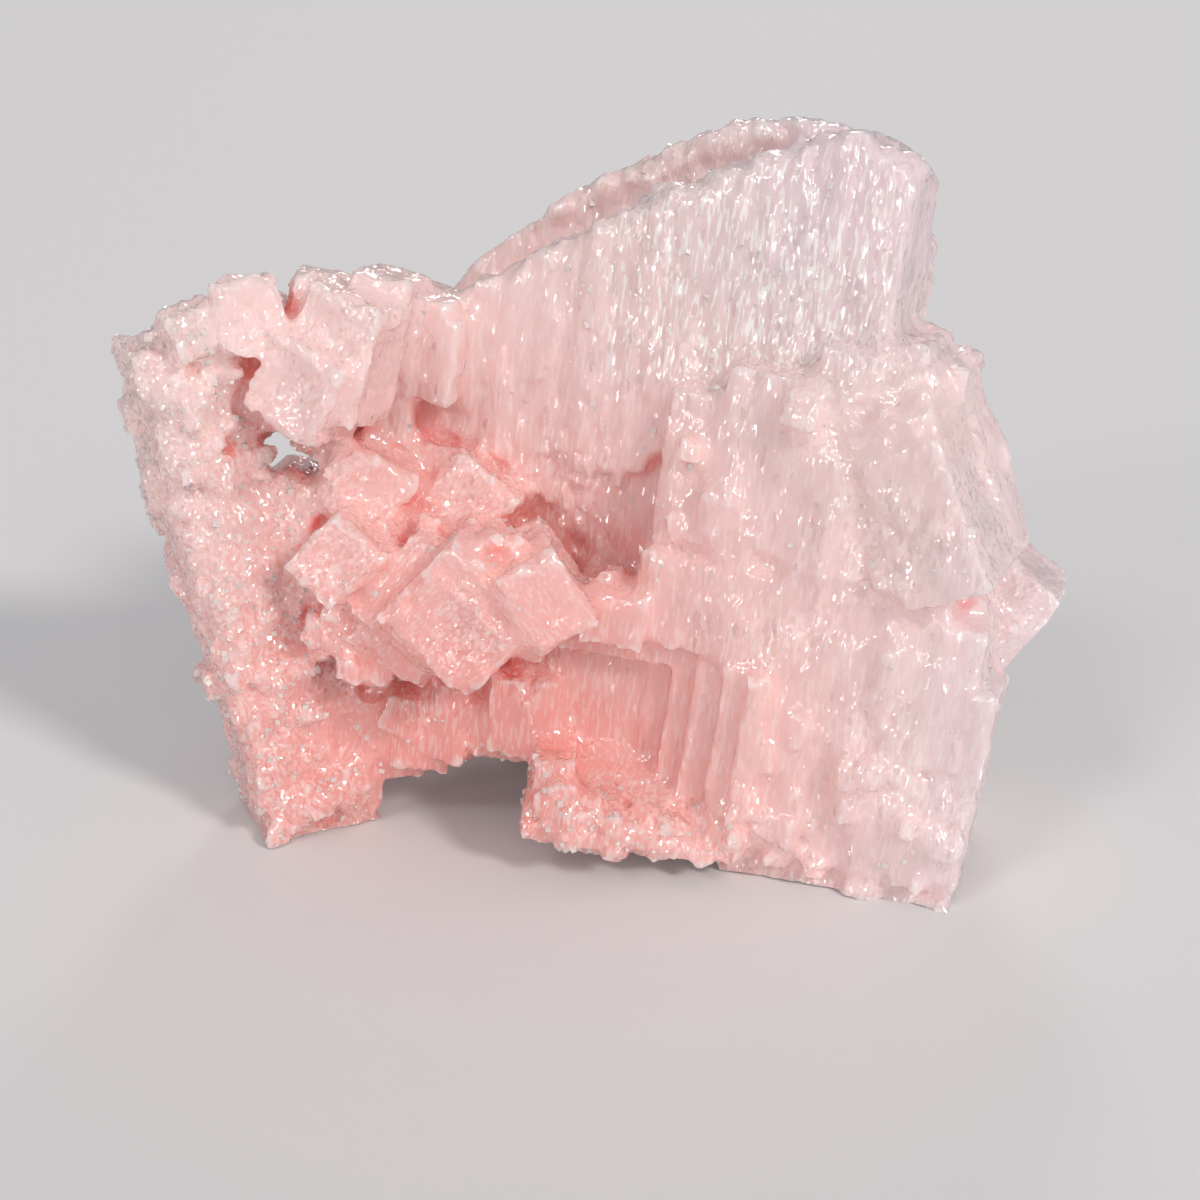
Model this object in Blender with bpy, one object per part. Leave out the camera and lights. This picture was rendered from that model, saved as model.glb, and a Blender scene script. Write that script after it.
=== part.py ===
"""A pink halite cluster: cubic salt crystals grown together into one piece.

Two large groups of crystals lean against each other like an open book. The right group holds the tall
crown with its hollow top, the stepped hopper and the block that stands on the ground. The left group is
a tilted slab on one foot. Everything is one solid, cut flat where it rests.
"""

import math
import random

import bmesh
import bpy
from mathutils import Euler, Matrix, Vector

MM = 0.001
PINK_SALT = (0.82, 0.56, 0.52, 1.0)

# A lattice is the cube directions that a group of crystals shares. u runs right, v back and w up.
# Its origin is in millimetres, and its pitch, roll and yaw are in degrees.
MAIN_LATTICE = dict(origin=(31.3, -18.5, 0.0), roll=6.0, yaw=-20.0)
HOPPER_LATTICE = dict(origin=(11.5, -13.0, 0.0), roll=6.5, yaw=-4.0)
SLAB_LATTICE = dict(origin=(-31.8, -4.7, 0.0), roll=-10.0, yaw=25.0)

MISFIT = 0.12  # how far a block's faces stray from their stated places, so that no two lie in one plane

rng = random.Random(11)
blocks = []


def turn(pitch=0.0, roll=0.0, yaw=0.0):
    """Rotation from a crystal's own axes: yaw about the vertical, then pitch, then roll to the right."""
    angles = Euler(tuple(math.radians(a) for a in (pitch, roll, yaw)), "ZXY")
    return angles.to_matrix().to_4x4()


def frame_of(origin, pitch=0.0, roll=0.0, yaw=0.0):
    return Matrix.Translation(origin) @ turn(pitch, roll, yaw)


MAIN = frame_of(**MAIN_LATTICE)
HOPPER = frame_of(**HOPPER_LATTICE)
SLAB = frame_of(**SLAB_LATTICE)


def stray():
    return rng.uniform(-MISFIT, MISFIT)


def block(frame, u, v, w):
    """One block between u[0] and u[1], v[0] and v[1], w[0] and w[1] of a lattice."""
    shape = bmesh.new()
    bmesh.ops.create_cube(shape, size=1.0)
    low = Vector((u[0] + stray(), v[0] + stray(), w[0] + stray()))
    high = Vector((u[1] + stray(), v[1] + stray(), w[1] + stray()))
    span = Matrix.Diagonal(high - low).to_4x4()
    shape.transform(Matrix.Translation((low + high) / 2) @ span)
    shape.transform(Matrix.Scale(MM, 4) @ frame)
    blocks.append(shape)


def cube(centre, size, pitch=0.0, roll=0.0, yaw=0.0):
    """A single crystal at its own angle: its centre, its width, depth and height, and its turn."""
    half = Vector(size) / 2
    block(frame_of(centre, pitch, roll, yaw), (-half.x, half.x), (-half.y, half.y), (-half.z, half.z))


def prism(frame, outline, v):
    """A plate of a lattice: an outline of (u, w) points, seen from the front, between v[0] and v[1]."""
    front, back = v[0] + stray(), v[1] + stray()
    shape = bmesh.new()
    loops = [[shape.verts.new((u, depth, w)) for u, w in outline] for depth in (front, back)]
    shape.faces.new(loops[0])
    shape.faces.new(loops[1][::-1])
    for n in range(len(outline)):
        m = (n + 1) % len(outline)
        shape.faces.new((loops[0][m], loops[0][n], loops[1][n], loops[1][m]))
    bmesh.ops.recalc_face_normals(shape, faces=shape.faces[:])
    shape.transform(Matrix.Scale(MM, 4) @ frame)
    blocks.append(shape)


def height_at(line, u):
    """The height of an outline, given as (u, w) points, at u."""
    for (u0, w0), (u1, w1) in zip(line, line[1:]):
        if u <= u1:
            return w0 + (w1 - w0) * (u - u0) / (u1 - u0)
    return line[-1][1]


def palisade(frame, top, bottom, v, width, relief, ragged):
    """Upright columns side by side. Their tops and bottoms follow two outlines of (u, w) points."""
    u, end = top[0][0], top[-1][0]
    while u < end - 0.4:
        step = min(width * rng.uniform(0.6, 1.5), end - u)
        sides = (u - 0.3 + stray(), u + step + 0.3 + stray())
        low = height_at(bottom, u + step / 2) + rng.uniform(-ragged, ragged)
        slip = rng.uniform(-0.4, 0.4) * ragged
        high = [height_at(top, side) + slip for side in sides]
        outline = [(sides[0], low), (sides[1], low), (sides[1], high[1]), (sides[0], high[0])]
        prism(frame, outline, (v[0] + rng.uniform(0, relief), v[1]))
        u += step


def druse(frame, u, v, w, count, size, lean=14.0):
    """Small cubes half sunk in a face, scattered over a box that is thin across the face."""
    for _ in range(count):
        centre = frame @ Vector([rng.uniform(*side) for side in (u, v, w)])
        edge = rng.uniform(*size)
        own = frame.to_3x3().to_4x4() @ turn(*[rng.uniform(-lean, lean) for _ in range(3)])
        shape = bmesh.new()
        bmesh.ops.create_cube(shape, size=edge)
        shape.transform(Matrix.Scale(MM, 4) @ Matrix.Translation(centre) @ own)
        blocks.append(shape)


def grow_core():
    """The inner mass that every group is rooted in."""
    block(MAIN, (-44, -6), (9, 25), (2, 42))
    block(MAIN, (-60, -18), (13, 28), (8, 40))
    block(MAIN, (-66, -44), (17, 31), (12, 34))


def grow_crown():
    """The tall upper crystal: a ribbed front wall, a higher back wall, and a hollow between them."""
    left_top = [(-56, 48.8), (-49, 53.3), (-42.6, 57.5), (-36, 61.8)]
    front_top = [*left_top, (-29, 65), (-22, 68), (-19, 69), (-13.4, 66)]
    front_bottom = [(-56, 40), (-50.3, 36.2), (-42, 35.2), (-35, 37.4), (-33, 44), (-25, 46), (-13.4, 48)]
    prism(MAIN, [(-13.2, 46), *front_top[::-1], (-56, 42), (-50, 38), (-34, 40)], (6.6, 12))
    palisade(MAIN, front_top, front_bottom, (5.0, 10), 2.1, 1.1, 1.2)
    hollow_floor = [(u, w - 6.5) for u, w in front_top]
    palisade(MAIN, hollow_floor, [(-56, 30), (-13.4, 30)], (9, 22), 5.0, 0.5, 0.8)
    back_top = [(-63, 46.8), (-59.8, 50.8), (-57, 53.7), (-48.8, 59.2), (-42, 62.8), (-35, 66.6), (-28, 69)]
    prism(MAIN, [(-15.5, 40), (-15.8, 63), (-21, 67), *back_top[::-1], (-63, 34)], (19, 22.5))
    palisade(MAIN, [*back_top[3:], (-16.5, 64)], [(-49, 40), (-16.5, 40)], (20, 26), 4.5, 0.8, 1.2)
    prism(MAIN, [(-13.1, 44), (-13.4, 65.2), (-15, 67), (-19, 68.6), (-23.4, 67.6), (-24, 44)], (6, 18))
    prism(MAIN, [(-14.6, 42), (-14.9, 64), (-18, 66.6), (-24, 66), (-24, 42)], (17, 21))


def grow_middle():
    """The lumpy blocks on the right, under the crown."""
    block(MAIN, (-31.5, -11), (2.6, 14), (28.5, 45))
    block(MAIN, (-29, -11.5), (1.8, 14), (30, 41))
    block(MAIN, (-24, -13), (1.2, 14), (38, 48.2))
    block(MAIN, (-19, -12.6), (2.4, 15), (43, 50.8))
    block(MAIN, (-14.4, -9.6), (3.6, 17), (43, 52.0))
    block(MAIN, (-11, -6.2), (5.2, 17), (40, 50.4))
    block(MAIN, (-28, -19), (0.4, 8), (31.5, 38))
    block(MAIN, (-26.6, -21), (-0.2, 8), (32, 35.4))
    block(MAIN, (-22, -13), (0.2, 8), (37.5, 41.5))
    block(MAIN, (-32.5, -26), (1.0, 10), (21.5, 29.5))
    block(MAIN, (-29, -17.4), (0.2, 10), (20.6, 27.5))
    block(MAIN, (-27, -22), (-0.3, 10), (22, 26.4))
    block(MAIN, (-17.6, -12), (1.4, 12), (19.4, 31))
    block(MAIN, (-17.5, -5), (1.9, 12), (19, 29))
    block(MAIN, (-14.5, -3), (0.3, 12), (20.5, 24.6))
    block(MAIN, (-11, -3.4), (1.6, 18), (18, 33))
    block(MAIN, (-6, 0.0), (1.1, 18), (18, 28))


def grow_plate():
    """The tilted crystal at the upper right, stepped near its top, and the one whose corner points right."""
    tilt = dict(pitch=-9, roll=-21, yaw=-26)
    cube((30.8, -11.6, 37.8), (8.0, 12.0, 14.6), **tilt)
    cube((30.6, -10.4, 38.8), (8.6, 12.0, 17.0), **tilt)
    cube((30.8, -9.0, 39.4), (9.0, 12.0, 18.6), **tilt)
    cube((31.4, -7.0, 40.2), (9.6, 12.0, 19.8), **tilt)
    cube((34.0, -1.6, 39.6), (8.0, 12.0, 17.0), pitch=-8, roll=-21, yaw=-18)
    cube((35.4, -1.4, 22.6), (11.5, 14, 20), pitch=4, roll=34, yaw=-20)
    cube((34.4, -4.6, 19.4), (8, 10, 17), pitch=2, roll=25, yaw=-26)


def grow_standing_block():
    """The block at the lower right that stands on the ground, with upright ribs."""
    block(MAIN, (-21.3, 1.2), (1.2, 12), (-3, 21.6))
    block(MAIN, (-20.5, -1.0), (8, 26), (-5, 24))
    prism(MAIN, [(1.6, -3), (2.1, 22), (-2, 22.6), (-3, -3)], (1.0, 9))
    top = [(-21.3, 21.6), (-10, 22), (1.4, 22.6)]
    bottom = [(-21.3, 1.2), (-10, 0.0), (1.4, -3)]
    palisade(MAIN, top, bottom, (0.0, 6), 2.8, 1.5, 0.7)
    block(MAIN, (-20, -3), (14, 30), (-7, 27))


def grow_hopper():
    """The stepped hollow at the lower middle: its walls step inwards to the right and at the foot."""
    block(HOPPER, (-19.5, 1), (8, 20), (3, 24))
    for n in range(5):
        front = 7.2 - 1.9 * n
        right = -9.4 + 2.3 * n
        foot = 9.4 - 1.3 * n
        block(HOPPER, (right, 2.0), (front, 14), (3, 22.6))
        block(HOPPER, (-18.5 - 0.4 * n, 1.5), (front, 14), (2.2 - 0.1 * n, foot))
    block(HOPPER, (-19.6, -15), (0.4, 12), (3.2, 10.2))
    block(HOPPER, (-18, -14.5), (-1.2, 12), (3.6, 8.6))
    block(HOPPER, (-16, -9.6), (-2.0, 8), (2.6, 6.6))
    block(HOPPER, (-19, 0.5), (5.2, 16), (20.2, 26))
    block(HOPPER, (-16.6, -10.4), (3.4, 16), (21.6, 27))
    block(HOPPER, (-24.5, -18), (6.5, 20), (7.5, 16.4))
    block(HOPPER, (-23, -17), (8.5, 20), (14, 24))
    block(HOPPER, (-26, -20), (8.0, 22), (6.4, 12.5))


def grow_recess():
    """The smooth hollow in the middle, with its stepped ceiling and left wall."""
    block(MAIN, (-50, -31), (12.5, 20), (14, 42))
    for n in range(4):
        block(MAIN, (-50.5, -35.4 + 0.8 * n), (6.6 + 1.5 * n, 16), (35.6 - 1.2 * n, 40))
    block(MAIN, (-42.4, -41.2), (10.4, 16), (17.4, 24))


def grow_column():
    """The ribbed column left of the hollow, the hollow's ribbed left wall and the crystal on its foot."""
    block(MAIN, (-62.6, -50), (8.6, 20), (28, 43))
    column_top = [(-63.2, 35), (-60.8, 45), (-56, 47.2), (-51, 46)]
    palisade(MAIN, column_top, [(-63.2, 27.4), (-51, 27.6)], (6.8, 14), 2.2, 1.4, 0.5)
    palisade(MAIN, [(-52, 38), (-44, 37)], [(-52, 27.8), (-44, 27.2)], (8.4, 16), 1.7, 1.0, 0.4)
    cube((-12.8, 2.4, 31.4), (7.6, 9, 6.6), pitch=4, roll=25, yaw=-12)
    cube((-16.4, 5.4, 49.0), (7.4, 10, 8), roll=6, yaw=-10)
    cube((-19.8, 6.4, 46.4), (5, 10, 12), roll=8, yaw=-6)
    cube((-17.4, 5.4, 31.0), (7, 9, 8), pitch=-4, roll=32, yaw=-6)


def grow_spiky_cubes():
    """The crystals that stand out in front of the lower hollow, corners down."""
    cube((-12.2, -6.0, 27.0), (11.6, 12, 11.2), pitch=4, roll=43, yaw=-8)
    cube((-12.6, -7.0, 25.4), (9.6, 10, 8.2), pitch=6, roll=40, yaw=-12)
    cube((-15.4, -3.0, 26.6), (10.6, 12, 10.6), pitch=-2, roll=38, yaw=-14)
    cube((-17.6, -1.0, 24.4), (9.4, 12, 10.4), pitch=-2, roll=35, yaw=-10)
    cube((-5.6, -8.0, 29.4), (6.6, 11, 8.8), pitch=6, roll=-30, yaw=6)
    cube((-6.6, -9.4, 24.6), (2.6, 5, 2.6), pitch=8, roll=20, yaw=10)
    cube((-24.2, -4.0, 31.6), (6.6, 9, 7.8), pitch=6, roll=42, yaw=-10)
    cube((-22.6, 2.6, 37.0), (7.6, 11, 7.6), roll=30, yaw=4)
    cube((-21.0, 4.0, 30.0), (9, 12, 9), pitch=4, roll=52, yaw=-6)
    cube((0.4, -4.6, 26.8), (1.6, 4, 6.4), roll=12, yaw=-20)


def grow_slab():
    """The left slab with its pillar and foot."""
    block(SLAB, (-2.2, 8.2), (1.2, 12), (40, 51.6))
    block(SLAB, (-2.0, 14), (2.2, 11), (45, 52.8))
    block(SLAB, (-2.4, 5.0), (1.4, 12.4), (24, 44))
    block(SLAB, (-2.2, 7.0), (0.6, 9), (28, 38.6))
    block(SLAB, (-1.8, 6.8), (1.0, 12), (3, 30))
    block(SLAB, (-2.4, 10.6), (0.8, 13), (-4, 6.6))
    block(SLAB, (-1.2, 8.6), (0.2, 11), (11, 17))
    block(SLAB, (4, 20), (6.5, 17), (7, 15))
    block(SLAB, (5, 18), (8.5, 18), (12, 21.5))
    block(SLAB, (5, 17), (10.5, 21), (18, 34))


def grow_upper_left_cubes():
    """The cubes along the top of the left slab, the two largest tilted."""
    cube((-32.6, -2.6, 54.0), (5.8, 7, 7.0), pitch=-4, roll=-8, yaw=16)
    cube((-37.4, -3.6, 52.6), (5.0, 6, 4.6), roll=-14, yaw=28)
    cube((-26.8, -3.8, 47.8), (8.2, 8, 8.6), pitch=8, roll=27, yaw=-22)
    cube((-22.8, -3.4, 50.4), (6.8, 7, 11.4), pitch=3, roll=17, yaw=-26)
    cube((-24.8, -0.6, 51.6), (6.6, 9, 9.6), pitch=2, roll=24, yaw=-12)
    cube((-27.2, 1.2, 54.4), (4.0, 7, 6), roll=9, yaw=4)
    cube((-20.4, 1.6, 52.6), (5.6, 8, 9), roll=12, yaw=-10)
    cube((-16.6, 5.0, 51.4), (5, 9, 7), roll=14, yaw=-8)


def grow_lower_hollow():
    """The small stepped cubes deep inside the lower hollow, over the arch."""
    for x, y, z, edge, roll in (
        (-22.0, 3.0, 9.4, 7.6, 8), (-18.4, 1.0, 9.8, 6.0, 14), (-15.0, 0.4, 11.4, 6.4, 6),
        (-23.8, 5.0, 16.0, 8.0, 18), (-18.6, 4.4, 17.0, 9.0, 10), (-13.2, 3.0, 18.2, 7.4, 4),
        (-26.8, 8.0, 20.6, 9.0, 22), (-20.6, 7.0, 23.6, 10.0, 30), (-25.4, 3.4, 12.4, 4.6, 26),
        (-20.6, -0.6, 13.6, 4.4, 22), (-29.0, 1.4, 34.0, 6.0, 30), (-28.0, 0.6, 29.6, 5.4, 14),
        (-28.4, 0.2, 25.4, 5.0, 36), (-15.8, -1.2, 15.2, 3.8, 12), (-11.4, -0.6, 12.6, 4.4, 10),
    ):
        cube((x, y + 2.0, z), (edge, edge + 4.0, edge), roll=roll, yaw=rng.uniform(-24, 10))


def grow_back():
    """Cubes on the far side and at the ends, and the crystals that the cluster stands on there."""
    block(MAIN, (-44, -22), (20, 34), (-9, 22))
    block(MAIN, (-41, -30), (30, 35.6), (-9, 12))
    block(MAIN, (-18, -9), (24, 31.4), (-5, 15))
    cube((-2.0, 20.0, 44.0), (16, 15, 17), pitch=8, roll=12, yaw=-34)
    cube((12.0, 18.0, 36.0), (16, 15, 18), pitch=-6, roll=-6, yaw=20)
    cube((22.0, 9.5, 22.0), (14, 14, 16), roll=10, yaw=-30)
    cube((-19.0, 15.0, 34.0), (14, 13, 15), pitch=6, roll=-20, yaw=12)
    cube((-27.5, 11.0, 22.0), (11, 10, 12), pitch=-8, roll=14, yaw=30)
    cube((-8.0, 23.0, 18.0), (14, 11, 15), roll=-12, yaw=8)
    cube((-30.4, 4.6, 49.6), (8, 8, 8), roll=-14, yaw=22)
    for x, y, z, edge in (
        (5.0, 26.0, 40.0, 8.5), (-7.0, 24.0, 51.0, 7.0), (17.0, 25.0, 44.0, 7.5), (20.5, 22.0, 31.0, 8.0),
        (7.0, 28.0, 27.0, 9.0), (0.0, 29.5, 20.0, 6.5), (24.5, 17.5, 24.0, 7.0), (15.5, 22.5, 17.0, 8.0),
        (27.0, 11.0, 12.5, 8.0), (-13.0, 22.0, 28.5, 8.5), (-22.5, 20.5, 40.0, 7.0), (-26.0, 17.0, 28.0, 7.5),
        (-4.5, 29.0, 11.5, 7.0), (-15.5, 23.5, 14.0, 6.0), (10.0, 17.0, 53.0, 7.0), (22.5, 12.5, 50.0, 6.5),
        (30.0, 5.5, 34.5, 9.0), (29.0, 9.5, 42.0, 7.5), (-33.5, 11.5, 27.0, 6.5), (-31.0, 12.5, 13.5, 5.5),
    ):
        cube((x, y, z), (edge, edge, edge), *[rng.uniform(-24, 24) for _ in range(3)])


def grow_druse():
    """Sugar-like little cubes where the surface is grainy."""
    druse(SLAB, (-1.2, 8), (0.6, 1.6), (40, 51), 30, (1.6, 3.0))
    druse(SLAB, (-1.4, 6.6), (0.2, 1.2), (26, 40), 26, (1.5, 3.0))
    druse(SLAB, (-1.0, 6.4), (0.4, 1.2), (6, 26), 28, (1.5, 3.0))
    druse(SLAB, (-1.6, 9.6), (0.2, 1.2), (1.0, 6), 20, (1.8, 3.4))
    druse(SLAB, (-1.4, 13), (2.4, 10), (51.4, 52.8), 14, (1.6, 3.0))
    druse(MAIN, (-20, 0.4), (-0.2, 1.0), (0, 16), 24, (1.4, 3.0))
    druse(MAIN, (-30, -8), (0.8, 2.0), (30, 46), 14, (1.6, 3.2))
    druse(HOPPER, (-19, -2), (-0.8, 1.6), (2.8, 6.8), 24, (1.4, 3.0))
    druse(SLAB, (-2.2, -1.8), (3, 11), (4, 50), 12, (1.8, 3.2))
    druse(MAIN, (-40, -20), (26, 27), (46, 66), 8, (1.8, 3.2))


def resting_plane():
    """A block below the ground, which slices the cluster flat where it stands."""
    shape = bmesh.new()
    bmesh.ops.create_cube(shape, size=1.0)
    shape.transform(Matrix.Translation((0, 0, -0.05)) @ Matrix.Diagonal((0.3, 0.3, 0.1, 1.0)))
    return shape


def helper_object(name, shape, collection):
    mesh = bpy.data.meshes.new(name)
    shape.to_mesh(mesh)
    shape.free()
    helper = bpy.data.objects.new(name, mesh)
    helper.hide_render = True
    helper.display_type = "WIRE"
    collection.objects.link(helper)
    return helper


def joined_cluster():
    """One closed mesh: every block joined, cut off flat at the ground."""
    collection = bpy.context.scene.collection
    grown = bpy.data.collections.new("grown_blocks")
    collection.children.link(grown)
    for shape in blocks[1:]:
        helper_object("block", shape, grown)
    ground = helper_object("ground", resting_plane(), collection)
    core = helper_object("core", blocks[0], collection)
    union = core.modifiers.new("grow together", "BOOLEAN")
    union.operation = "UNION"
    union.operand_type = "COLLECTION"
    union.collection = grown
    level = core.modifiers.new("cut flat", "BOOLEAN")
    level.operation = "DIFFERENCE"
    level.object = ground
    bpy.context.view_layer.update()
    mesh = bpy.data.meshes.new_from_object(core.evaluated_get(bpy.context.evaluated_depsgraph_get()))
    for helper in [*grown.objects, ground, core]:
        bpy.data.objects.remove(helper)
    return mesh


def fill_pockets(mesh):
    """Keeps the outer shell alone, so that pockets closed in between blocks are solid salt."""
    shape = bmesh.new()
    shape.from_mesh(mesh)
    left = set(shape.verts)
    shells = []
    while left:
        reached = [left.pop()]
        for vert in reached:
            linked = [edge.other_vert(vert) for edge in vert.link_edges]
            for other in left.intersection(linked):
                left.remove(other)
                reached.append(other)
        shells.append(reached)
    shells.sort(key=len)
    for shell in shells[:-1]:
        bmesh.ops.delete(shape, geom=shell, context="VERTS")
    shape.to_mesh(mesh)
    shape.free()


def to_bottom_centre(mesh):
    """Moves the mesh so that the origin is at the bottom centre of its box."""
    sides = [[v.co[axis] for v in mesh.vertices] for axis in range(3)]
    middle = [(min(side) + max(side)) / 2 for side in sides]
    mesh.transform(Matrix.Translation((-middle[0], -middle[1], -min(sides[2]))))


def salt_material():
    material = bpy.data.materials.new("pink_salt")
    material.use_nodes = True
    shader = material.node_tree.nodes["Principled BSDF"]
    shader.inputs["Base Color"].default_value = PINK_SALT
    shader.inputs["Roughness"].default_value = 0.35
    shader.inputs["IOR"].default_value = 1.54
    return material


def main():
    for old in list(bpy.data.objects):
        bpy.data.objects.remove(old)
    grow_core()
    grow_crown()
    grow_middle()
    grow_plate()
    grow_standing_block()
    grow_hopper()
    grow_recess()
    grow_column()
    grow_spiky_cubes()
    grow_slab()
    grow_upper_left_cubes()
    grow_lower_hollow()
    grow_back()
    grow_druse()
    mesh = joined_cluster()
    fill_pockets(mesh)
    to_bottom_centre(mesh)
    mesh.materials.append(salt_material())
    cluster = bpy.data.objects.new("halite_cluster", mesh)
    bpy.context.scene.collection.objects.link(cluster)


main()
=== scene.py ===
"""Looks of the pink halite cluster: its frosted, ribbed and sugar-grained skin, light, floor and camera."""

import math

import bpy
import numpy as np
from mathutils import Euler, Matrix, Vector
from mathutils.bvhtree import BVHTree


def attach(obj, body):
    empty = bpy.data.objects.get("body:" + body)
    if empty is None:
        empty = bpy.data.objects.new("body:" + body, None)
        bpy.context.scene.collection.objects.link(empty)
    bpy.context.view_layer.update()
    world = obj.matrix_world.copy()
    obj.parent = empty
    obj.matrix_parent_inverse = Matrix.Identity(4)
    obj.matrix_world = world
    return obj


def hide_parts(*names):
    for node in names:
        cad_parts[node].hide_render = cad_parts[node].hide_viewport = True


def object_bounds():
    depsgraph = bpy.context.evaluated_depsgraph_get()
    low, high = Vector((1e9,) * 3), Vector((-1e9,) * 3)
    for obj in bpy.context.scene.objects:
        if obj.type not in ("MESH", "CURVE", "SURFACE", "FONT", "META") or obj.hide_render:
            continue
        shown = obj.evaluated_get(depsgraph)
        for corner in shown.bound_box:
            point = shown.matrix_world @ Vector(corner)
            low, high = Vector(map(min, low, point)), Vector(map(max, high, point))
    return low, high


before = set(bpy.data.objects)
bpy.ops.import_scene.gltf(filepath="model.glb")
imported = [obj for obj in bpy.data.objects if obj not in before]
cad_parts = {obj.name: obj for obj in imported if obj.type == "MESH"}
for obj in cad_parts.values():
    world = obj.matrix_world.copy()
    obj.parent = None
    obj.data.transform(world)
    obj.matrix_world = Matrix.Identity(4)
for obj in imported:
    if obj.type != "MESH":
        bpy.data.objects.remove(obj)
cad_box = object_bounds()

# ---------------------------------------------------------------------------------------------------
# The grown mass. Every crystal is rooted in one body of salt, which starts as the plain solid. Its three
# lattices are kept here, because ribs, steps and grains all follow the cube they sit on. What grows on
# the mass is melted into it as blocks.
MM = 0.001
DRAWN_AT = Vector((0.034, -7.204, 0.0))  # from the sizes as drawn, in mm, to the frame's own origin
CORNERS = np.array([(x, y, z) for x in (0, 1) for y in (0, 1) for z in (0, 1)], float)
shapes = []  # corners of each block


def lattice(origin, pitch=0.0, roll=0.0, yaw=0.0):
    """A crystal's axes in mm: u to its right, v to its back and w up."""
    turned = Euler([math.radians(a) for a in (pitch, roll, yaw)], "ZXY").to_matrix().to_4x4()
    return Matrix.Translation(Vector(origin) + DRAWN_AT) @ turned


MAIN = lattice((31.3, -18.5, 0.0), roll=6.0, yaw=-20.0)
HOPPER = lattice((11.5, -13.0, 0.0), roll=6.5, yaw=-4.0)
SLAB = lattice((-31.8, -4.7, 0.0), roll=-10.0, yaw=25.0)


def block(own, u, v, w):
    """A straight block between two values along each axis of its lattice."""
    low, high = np.array([u[0], v[0], w[0]]), np.array([u[1], v[1], w[1]])
    turned = np.array(own)
    shapes.append((low + CORNERS * (high - low)) @ turned[:3, :3].T + turned[:3, 3])


# ---------------------------------------------------------------------------------------------------
# The crown: a tall crystal with a ribbed front wall, a higher back wall and a hollow between them.
# Its front is a curtain of fine upright ribs over a stepped recess, and both walls end in a beaded crust.
rng = np.random.default_rng(7)
CROWN_TOP = ((-56, 48.8), (-49, 53.3), (-42.6, 57.5), (-36, 61.8), (-29, 65), (-22, 68), (-19, 69), (-13.4, 66))
CROWN_FOOT = ((-56, 40), (-50.3, 36.4), (-42, 35.4), (-35, 37.6), (-33, 44), (-25, 46), (-13.4, 48))
BACK_TOP = ((-63, 46.8), (-59.8, 50.8), (-57, 53.7), (-48.8, 59.2), (-42, 62.8), (-35, 66.6), (-28, 69), (-21, 67))
CEILING_STEPS = 7


def palisade(own, top, bottom, v, width, relief, ragged):
    """Upright ribs side by side, whose tops and bottoms follow two outlines of (u, w) points."""
    top, bottom = np.array(top, float), np.array(bottom, float)
    u, end = top[0, 0], top[-1, 0]
    while u < end - 0.2:
        step = min(width * rng.uniform(0.5, 1.7), end - u)
        middle = u + step / 2
        high = np.interp(middle, top[:, 0], top[:, 1]) + rng.uniform(-ragged, ragged) * 0.4
        low = np.interp(middle, bottom[:, 0], bottom[:, 1]) + rng.uniform(-ragged, ragged)
        block(own, (u - 0.1, u + step + 0.1), (v[0] + rng.uniform(0, relief), v[1]), (low, high))
        u += step


def druse(own, u, v, w, count, size, lean):
    """Small cubes half sunk in a face, scattered over a box that is thin across the face."""
    for _ in range(count):
        spot = Vector([rng.uniform(*side) for side in (u, v, w)])
        edge = rng.uniform(*size)
        angles = [math.radians(rng.uniform(-lean, lean)) for _ in range(3)]
        small = own @ Matrix.Translation(spot) @ Euler(angles).to_matrix().to_4x4()
        half = edge / 2 * rng.uniform(0.7, 1.15, 3)
        block(small, (-half[0], half[0]), (-half[1], half[1]), (-half[2], half[2]))


def beaded_ridge(outline, start, end, beads, v, above, each, size):
    """Beads of small cubes along the top of a wall."""
    along = np.linspace(start, end, beads)
    for u, w in zip(along, np.interp(along, *np.array(outline).T)):
        druse(MAIN, (u - 0.4, u + 0.4), v, (w + above[0], w + above[1]), each, size, 30)


palisade(MAIN, [(u, w - 0.5) for u, w in CROWN_TOP], CROWN_FOOT, (4.6, 9), 0.8, 0.45, 1.6)
palisade(
    MAIN, [(u, w - 5 - 0.1 * u) for u, w in CROWN_TOP], [(u, w - 0.8) for u, w in CROWN_FOOT],
    (4.4, 9), 1.1, 0.5, 3.0,
)
palisade(
    MAIN, ((-60, 39), (-41, 44)), ((-60, 33.2), (-52, 31.8), (-46, 30.8), (-41, 29.8)),
    (5.0, 12), 1.0, 0.5, 0.4,
)
block(MAIN, (-54, -31), (6.0, 12), (14, 38))
for n in range(CEILING_STEPS):
    block(MAIN, (-47, -32.5), (5.0 + 0.65 * n, 12), (37.8 - 0.95 * n, 43))
beaded_ridge(CROWN_TOP, -56, -14, 60, (5.4, 12), (-0.7, 0.1), 2, (0.9, 2.2))
beaded_ridge(BACK_TOP, -52, -19, 46, (18.6, 23), (-0.8, -0.1), 3, (0.9, 2.4))


# ---------------------------------------------------------------------------------------------------
# The middle: lumps of grown-together blocks on the right, under the crown, with ragged ledges between
# them, thin flakes on their fronts, a scalloped lower edge and upright plates beside the hopper.
def slope(own, u, v, w):
    """A block whose front leans: v holds the front at the foot, the front at the top, and the back."""
    corners = CORNERS * (u[1] - u[0], 0, w[1] - w[0]) + (u[0], 0, w[0])
    corners[:, 1] = np.where(CORNERS[:, 1] > 0, v[2], np.where(CORNERS[:, 2] > 0, v[1], v[0]))
    turned = np.array(own)
    shapes.append(corners @ turned[:3, :3].T + turned[:3, 3])


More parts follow.
